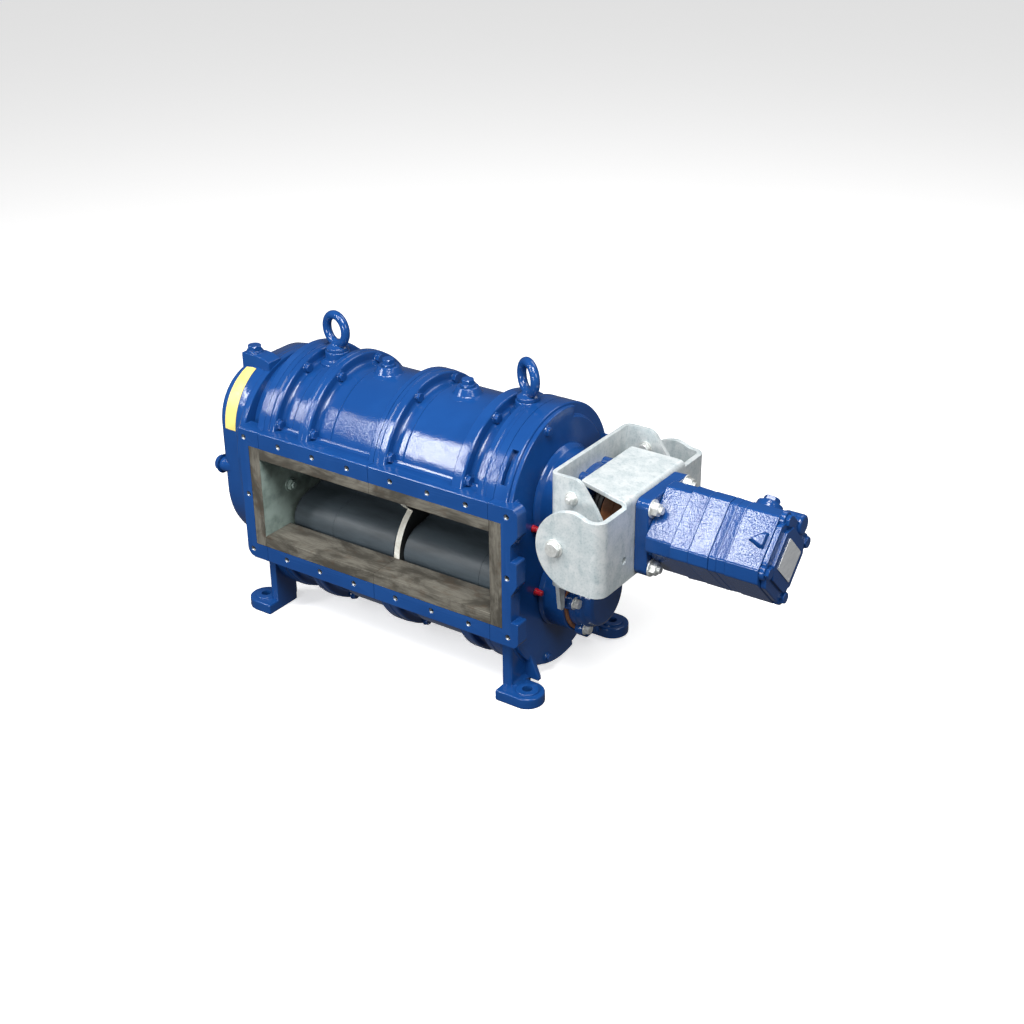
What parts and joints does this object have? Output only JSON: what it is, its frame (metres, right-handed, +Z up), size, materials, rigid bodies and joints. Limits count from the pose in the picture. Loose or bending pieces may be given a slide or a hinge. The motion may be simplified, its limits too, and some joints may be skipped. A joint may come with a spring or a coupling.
{
  "type": "rotary lobe pump",
  "caption": "Rotary lobe pump with a rectangular port on each side, two geared rotor shafts, cast feet and a bracket-mounted hydraulic motor.",
  "frame": {"origin": "under the middle of the whole machine's bounding box, on the floor that the feet stand on", "axes": "+X along the two rotor shafts towards the motor, -Y out of the front port, +Z up"},
  "size_m": [1.1576, 0.3786, 0.5943],
  "materials": {
    "blue_paint": "glossy paint on cast iron",
    "bare_iron": "bare, stained",
    "pale_metal": "machined edge, pale coat",
    "rotor_rubber": "smooth, satin",
    "steel": "turned or zinc plated",
    "galvanised": "hot-dip galvanised",
    "black_iron": "black",
    "brown_plastic": "moulded",
    "yellow_plate": "plain foil, blank",
    "plate_white": "plain plate, blank",
    "red_plastic": "moulded"
  },
  "bodies": {
    "base": {"casing_top_left": "blue_paint", "casing_top_right": "blue_paint", "casing_bottom_left": "blue_paint", "casing_bottom_right": "blue_paint", "end_plate_left": "blue_paint", "end_plate_right": "blue_paint", "end_cover": "blue_paint", "cover_plate_blank": "yellow_plate", "cover_plug": "blue_paint", "cover_side_bolt": "blue_paint", "barrel_plug_left": "blue_paint", "barrel_plug_right": "blue_paint", "lifting_eye_left": "blue_paint", "lifting_eye_right": "blue_paint", "liner_top_left": "bare_iron", "liner_top_right": "bare_iron", "liner_bottom_left": "bare_iron", "liner_bottom_right": "bare_iron", "wear_plate_left": "bare_iron", "wear_plate_right": "bare_iron", "middle_plate": "pale_metal", "bearing_housing_upper": "blue_paint", "bearing_housing_lower": "blue_paint", "bearing_cover": "blue_paint", "lower_gasket": "brown_plastic", "lower_cap": "blue_paint", "red_cap_upper": "red_plastic", "red_cap_lower": "red_plastic", "inner_bracket": "galvanised", "outer_bracket": "galvanised", "pivot_bolt_front": "steel", "pivot_bolt_back": "steel", "motor_flange": "blue_paint", "motor_body": "blue_paint", "motor_valve_block": "blue_paint", "motor_end_cover": "blue_paint", "motor_port_plug": "blue_paint", "motor_plate_blank": "plate_white"},
    "rotor_upper": {"rotor_upper_left": "rotor_rubber", "rotor_upper_right": "rotor_rubber", "shaft_upper": "steel", "coupling_hub": "black_iron", "coupling_ring": "brown_plastic"},
    "rotor_lower": {"rotor_lower_left": "rotor_rubber", "rotor_lower_right": "rotor_rubber", "shaft_lower": "steel"}
  },
  "joints": [
    {"name": "upper_shaft_turn", "type": "hinge", "parent": "base", "child": "rotor_upper", "pos_m": [-0.16675, 0, 0.349], "axis": [1, 0, 0], "continuous": true},
    {"name": "lower_shaft_turn", "type": "hinge", "parent": "base", "child": "rotor_lower", "pos_m": [-0.16675, 0, 0.171], "axis": [1, 0, 0], "continuous": true}
  ],
  "couplings": [
    {"joint": "lower_shaft_turn", "follows": "upper_shaft_turn", "ratio": -1}
  ]
}
